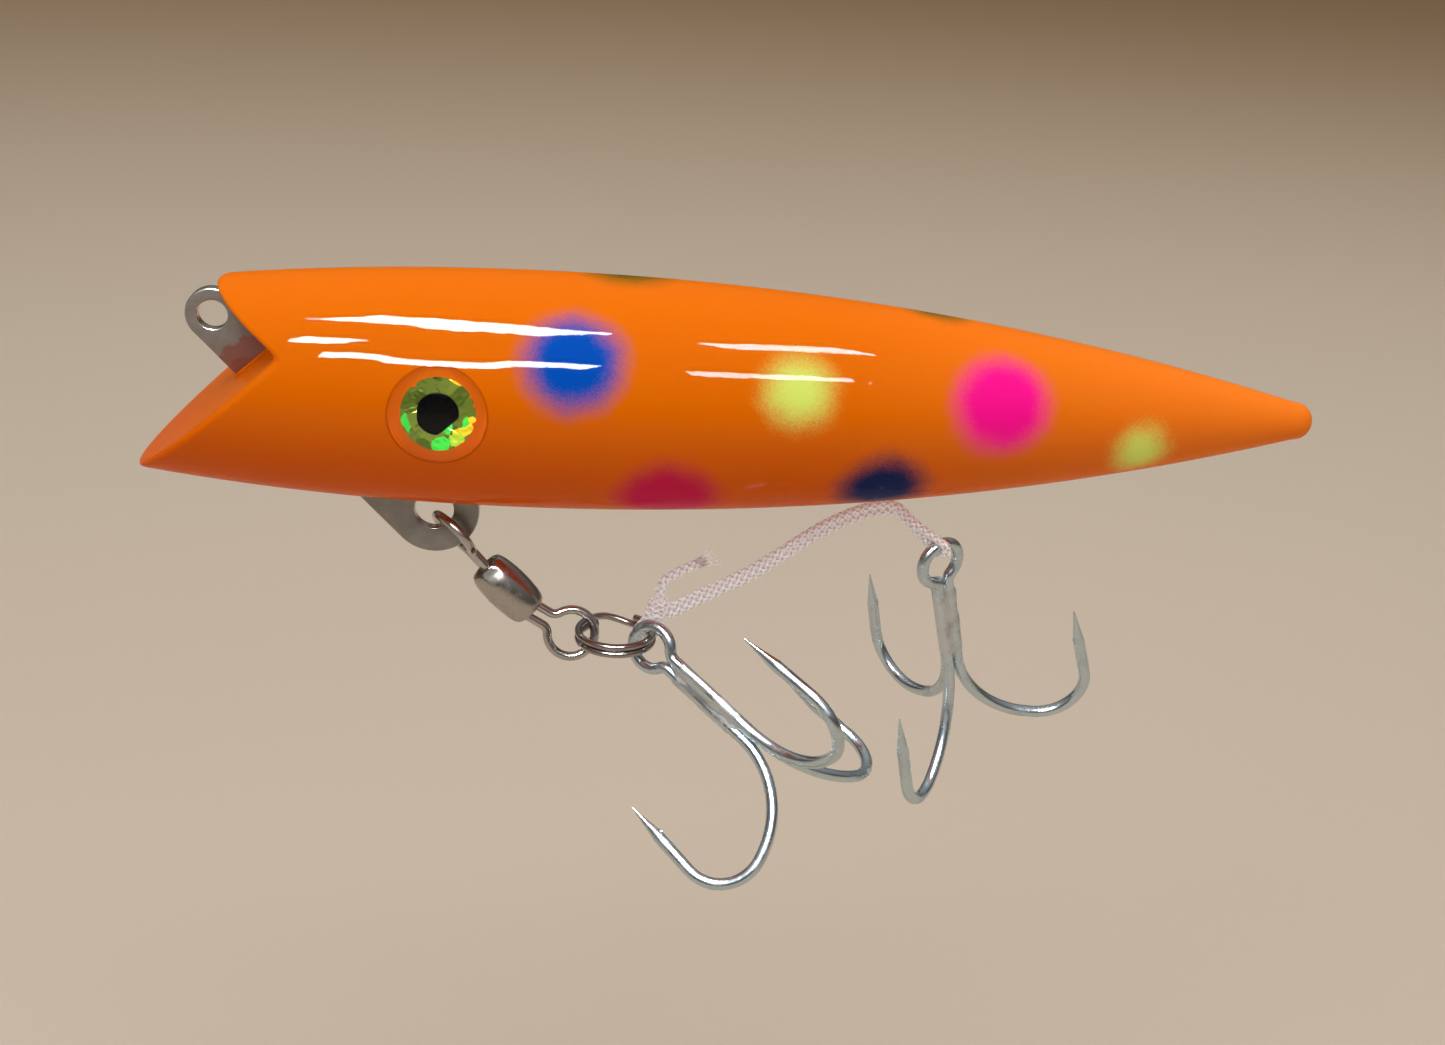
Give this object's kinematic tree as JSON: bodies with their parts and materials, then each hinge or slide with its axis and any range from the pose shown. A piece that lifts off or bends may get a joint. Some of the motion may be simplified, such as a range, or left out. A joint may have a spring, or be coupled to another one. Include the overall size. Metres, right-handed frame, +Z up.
{
  "type": "topwater popper",
  "caption": "Wooden topwater fishing plug with a notched mouth, a through plate, a belly swivel with a split ring, a treble hook and a cord-hung stinger treble.",
  "frame": {"origin": "the middle of the tow eye, the hole in the nose end of the hanger plate", "axes": "+X from the nose to the tail, +Z up through the back, +Y towards the right side of the plug, square to the hanger plate"},
  "size_m": [0.1786, 0.0575, 0.0886],
  "materials": {
    "painted_wood": "airbrushed fluorescent orange with soft blue, pink and yellow spots under thick clear resin",
    "plate_steel": "sheared stainless sheet, dull faces and bright edges",
    "filler": "painted over with the body",
    "pin_steel": "plain, hidden under the paint",
    "eye_foil": "cracked green holographic foil",
    "eye_black": "black print",
    "clear_resin": "clear cast resin",
    "swivel_wire": "bright stainless wire",
    "swivel_barrel": "tumbled nickel",
    "ring_steel": "black nickel to bright",
    "hook_wire": "bright tinned wire",
    "hook_solder": "dull tin braze",
    "cord": "white braided nylon"
  },
  "bodies": {
    "plug": {"plug_body": "painted_wood", "hanger_plate": "plate_steel", "slot_filler": "filler", "plate_pin_front": "pin_steel", "plate_pin_rear": "pin_steel", "eye_foil_left": "eye_foil", "eye_foil_right": "eye_foil", "eye_pupil_left": "eye_black", "eye_pupil_right": "eye_black", "eye_dome_left": "clear_resin", "eye_dome_right": "clear_resin"},
    "upper_eye": {"swivel_upper_eye": "swivel_wire"},
    "barrel": {"swivel_barrel": "swivel_barrel"},
    "lower_eye": {"swivel_lower_eye": "swivel_wire"},
    "ring": {"split_ring": "ring_steel"},
    "front_treble": {"front_double_hook": "hook_wire", "front_single_hook": "hook_wire", "front_hook_solder": "hook_solder"},
    "cord_start": {"cord_knot": "cord", "cord_tag_end": "cord", "cord_front": "cord"},
    "cord_mid": {"cord_middle": "cord"},
    "cord_tail": {"cord_rear": "cord", "cord_end_loop": "cord"},
    "rear_treble": {"rear_double_hook": "hook_wire", "rear_single_hook": "hook_wire", "rear_hook_solder": "hook_solder"}
  },
  "joints": [
    {"name": "hanger_swing", "type": "hinge", "parent": "plug", "child": "upper_eye", "pos_m": [0.0329, 0, -0.0301], "axis": [0, 1, 0], "range_deg": [-1, 85]},
    {"name": "barrel_spin", "type": "hinge", "parent": "upper_eye", "child": "barrel", "pos_m": [0.04445, 0, -0.04345], "axis": [0.7071, 0, -0.7071], "continuous": true},
    {"name": "lower_eye_spin", "type": "hinge", "parent": "barrel", "child": "lower_eye", "pos_m": [0.04445, 0, -0.04345], "axis": [0.7071, 0, -0.7071], "continuous": true},
    {"name": "ring_swing", "type": "hinge", "parent": "lower_eye", "child": "ring", "pos_m": [0.0557, 0, -0.05085], "axis": [0, -1, 0], "range_deg": [-70, 1]},
    {"name": "front_treble_swing", "type": "hinge", "parent": "ring", "child": "front_treble", "pos_m": [0.06724, -0.00203, -0.05085], "axis": [0.342, 0.9397, 0], "range_deg": [-25, 45]},
    {"name": "cord_swing", "type": "hinge", "parent": "ring", "child": "cord_start", "pos_m": [0.067, 0.00261, -0.05085], "axis": [-0.4384, 0.8988, 0], "range_deg": [-1, 20]},
    {"name": "cord_bend_front", "type": "hinge", "parent": "cord_start", "child": "cord_mid", "pos_m": [0.0824, 0.00225, -0.0404], "axis": [0, 0, 1], "range_deg": [-4, 40]},
    {"name": "cord_bend_rear", "type": "hinge", "parent": "cord_mid", "child": "cord_tail", "pos_m": [0.0939, 0.0016, -0.0316], "axis": [0, 1, 0], "range_deg": [-1, 8]},
    {"name": "rear_treble_swing", "type": "hinge", "parent": "cord_tail", "child": "rear_treble", "pos_m": [0.11146, -0.00229, -0.0323], "axis": [-0.8131, -0.488, -0.3175], "range_deg": [-5, 35]}
  ]
}
